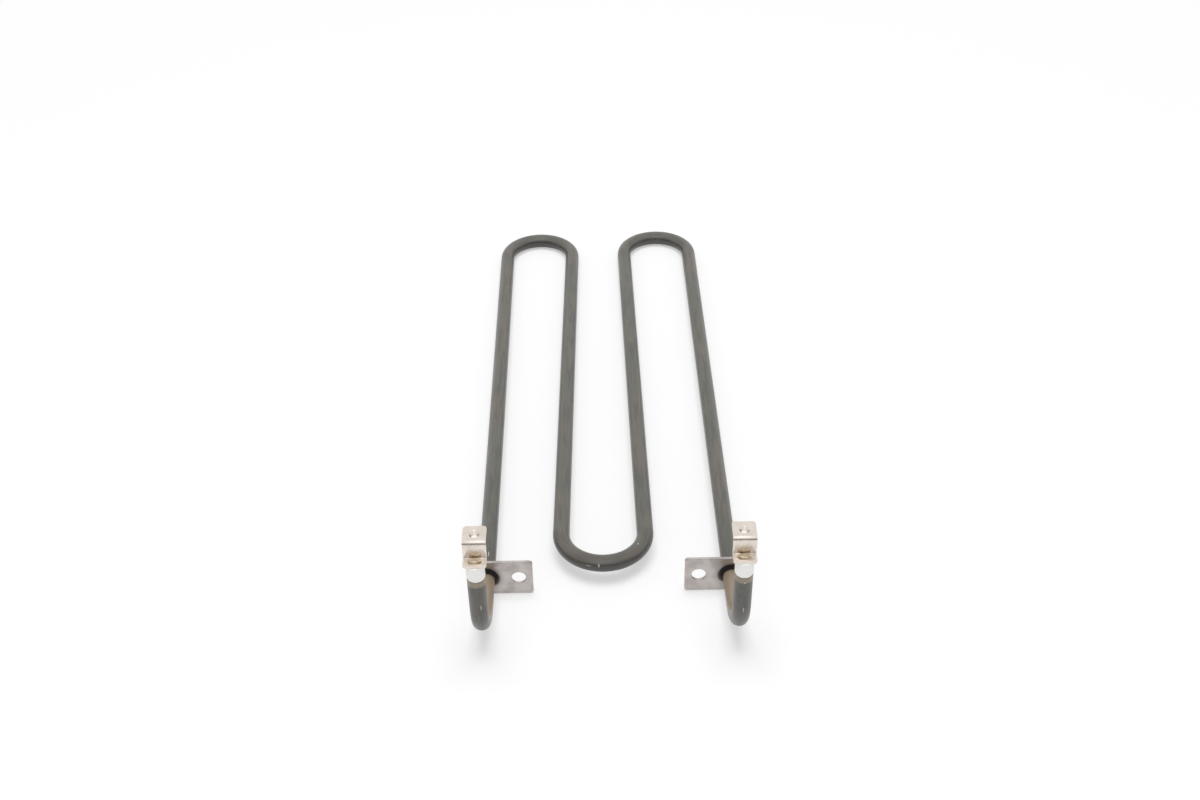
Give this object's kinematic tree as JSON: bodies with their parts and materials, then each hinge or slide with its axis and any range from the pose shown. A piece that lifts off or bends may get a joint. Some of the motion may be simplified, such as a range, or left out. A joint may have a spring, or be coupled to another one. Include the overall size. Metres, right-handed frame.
{
  "type": "tubular heating element",
  "caption": "Tubular heating element bent into flat parallel legs, with two upturned ends, ceramic beads, screw-terminal clips and plate brackets.",
  "frame": {"origin": "midway between the two bracket screw holes, on the brackets' mating faces, in the plane of the legs", "axes": "+Y from the brackets along the legs to the far bends, +Z the way the terminals stand, +X to the right seen from the terminals"},
  "size_m": [0.126, 0.3493, 0.067],
  "materials": {
    "sheath": "dark matt oxide",
    "magnesia": "compacted powder",
    "resistance_wire": "drawn wire",
    "pin_steel": "nickel-plated, tinted by heat",
    "seal_resin": "matt cured silicone resin",
    "bead_ceramic": "unglazed white",
    "clip_nickel": "nickel-plated",
    "bracket_steel": "satin",
    "braze_filler": "black oxidised filler"
  },
  "bodies": {
    "root": {"sheath_tube": "sheath", "magnesia_fill": "magnesia", "resistance_coil": "resistance_wire", "left_terminal_pin": "pin_steel", "left_end_seal": "seal_resin", "left_ceramic_bead": "bead_ceramic", "left_terminal_clip": "clip_nickel", "left_mounting_bracket": "bracket_steel", "left_braze_ring": "braze_filler", "right_terminal_pin": "pin_steel", "right_end_seal": "seal_resin", "right_ceramic_bead": "bead_ceramic", "right_terminal_clip": "clip_nickel", "right_mounting_bracket": "bracket_steel", "right_braze_ring": "braze_filler"}
  },
  "joints": []
}
